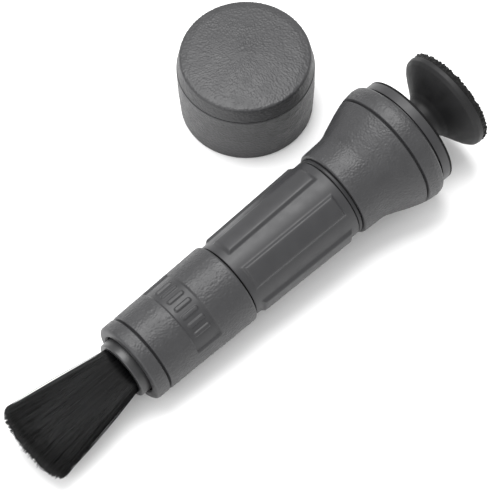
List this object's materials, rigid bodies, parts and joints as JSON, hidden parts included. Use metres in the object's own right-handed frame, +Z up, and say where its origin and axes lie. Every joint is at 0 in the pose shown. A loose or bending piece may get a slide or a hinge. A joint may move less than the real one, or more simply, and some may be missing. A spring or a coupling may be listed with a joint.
{
  "type": "lens cleaning pen",
  "caption": "Lens cleaning pen lying on its side: twist-out dust brush, fluted grip, bell end with a flexible cleaning tip, and a loose cap.",
  "frame": {"origin": "on the surface that the pen lies on, under the middle of the bounding box of the pen and its cap", "axes": "+X along the pen from the brush to the cleaning tip, +Z up from the surface, the cap stands on the +Y side; the pen's axis rises toward +X by 3.80 degrees"},
  "size_m": [0.1191, 0.0644, 0.0281],
  "materials": {
    "grained_grey": "moulded leather grain, satin",
    "smooth_grey": "smooth satin",
    "gloss_black": "gloss",
    "dark_plastic": "smooth satin",
    "pin_steel": "ground",
    "bristle_black": "fine black bristles",
    "tip_rubber": "soft satin rubber",
    "tip_felt": "black microfibre felt",
    "compound_carbon": "matte pressed carbon powder"
  },
  "bodies": {
    "pen_body": {"barrel": "grained_grey", "nose_ring": "grained_grey", "guide_tube": "dark_plastic", "friction_ring": "gloss_black", "bell_housing": "grained_grey", "rim_band": "grained_grey", "tip_socket": "smooth_grey", "tip_base": "tip_rubber", "tip_plug": "dark_plastic"},
    "grip": {"grip_sleeve": "smooth_grey", "cam_sleeve": "dark_plastic"},
    "brush": {"brush_carriage": "dark_plastic", "cam_pins": "pin_steel", "brush_rod": "dark_plastic", "brush_ferrule": "dark_plastic", "bristles": "bristle_black"},
    "tip": {"tip_trumpet": "tip_rubber", "tip_pad": "tip_felt"},
    "cap": {"cap_shell": "grained_grey", "cap_top": "grained_grey", "compound_cup": "dark_plastic", "cleaning_compound": "compound_carbon"}
  },
  "joints": [
    {"name": "grip_twist", "type": "hinge", "parent": "pen_body", "child": "grip", "pos_m": [0.0084, -0.0182, 0.01176], "axis": [0.9978, 0, 0.0663], "range_deg": [0, 270]},
    {"name": "brush_slide", "type": "slide", "parent": "pen_body", "child": "brush", "axis": [0.9978, 0, 0.0663], "range_m": [0, 0.027], "deforming": ["bristles"]},
    {"name": "tip_flex", "type": "hinge", "parent": "pen_body", "child": "tip", "pos_m": [0.04851, -0.0182, 0.01443], "axis": [0, 1, 0], "range_deg": [-6, 6], "stiffness_Nm_per_rad": 0.05},
    {"name": "cap_lift", "type": "slide", "parent": "pen_body", "child": "cap", "axis": [0, 0, 1], "range_m": [0, 0.04]}
  ],
  "couplings": [
    {"joint": "grip_twist", "follows": "brush_slide", "rad_per_m": 174.53}
  ]
}
